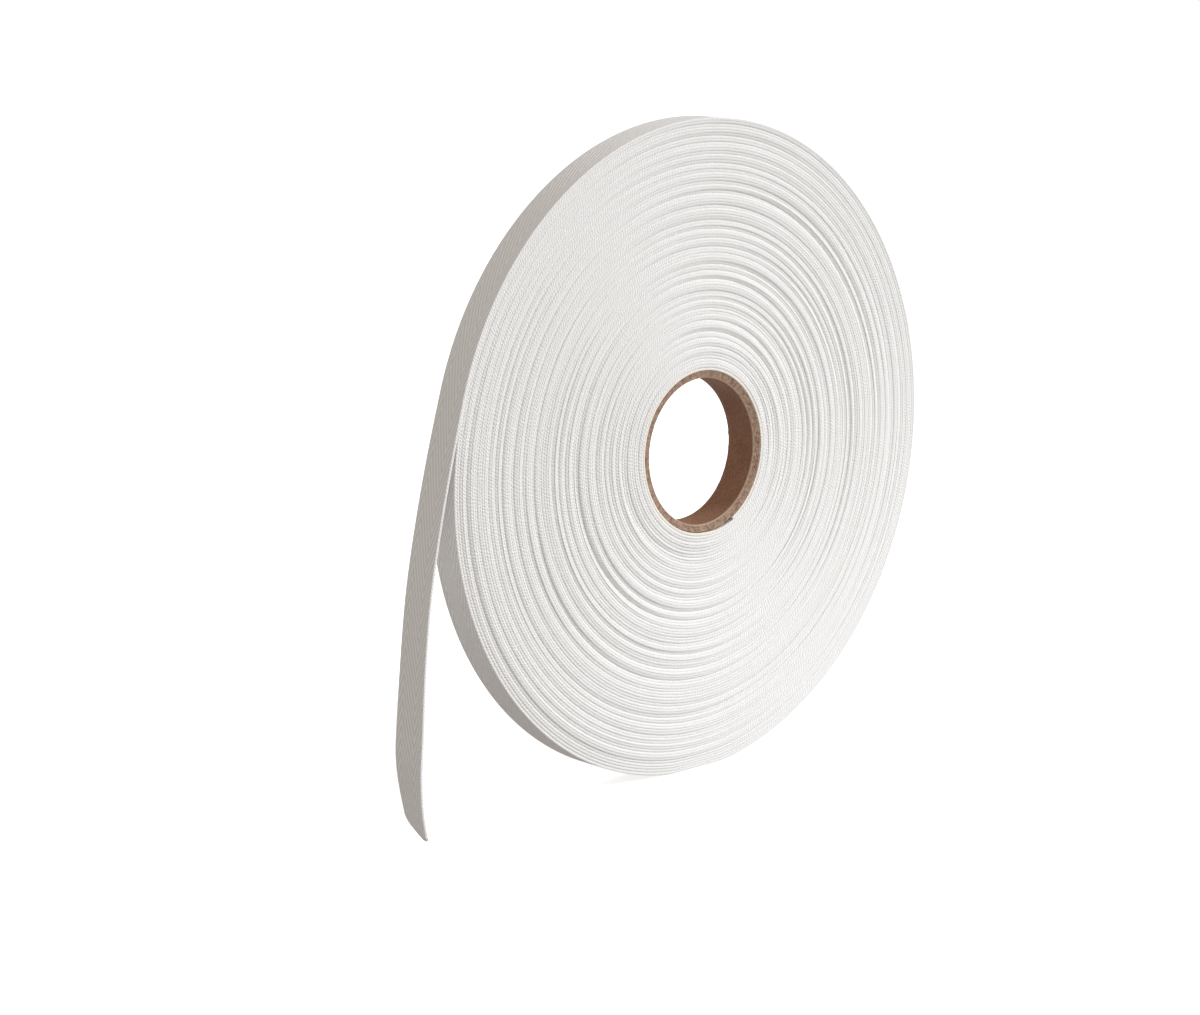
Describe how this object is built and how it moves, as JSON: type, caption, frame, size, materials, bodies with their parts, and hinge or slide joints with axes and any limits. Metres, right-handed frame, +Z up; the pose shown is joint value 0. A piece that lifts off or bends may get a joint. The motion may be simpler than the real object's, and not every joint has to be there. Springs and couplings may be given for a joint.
{
  "type": "roll of twill tape",
  "caption": "Narrow white twill tape wound flat on a cardboard tube, standing on its edge, with its slant-cut loose end hanging down at one side.",
  "frame": {"origin": "middle of the small flat spot that the roll stands on", "axes": "+Z up, Y along the roll's axis with the front face towards -Y, the loose end on the -X side"},
  "size_m": [0.2433, 0.0135, 0.2276],
  "materials": {
    "tape": "matt white herringbone twill with firm selvedges",
    "cardboard": "plain brown spiral-wound paper tube, matt, with rough-cut ends"
  },
  "bodies": {
    "root": {"wound_roll": "tape", "core": "cardboard", "loose_end": "tape"}
  },
  "joints": []
}
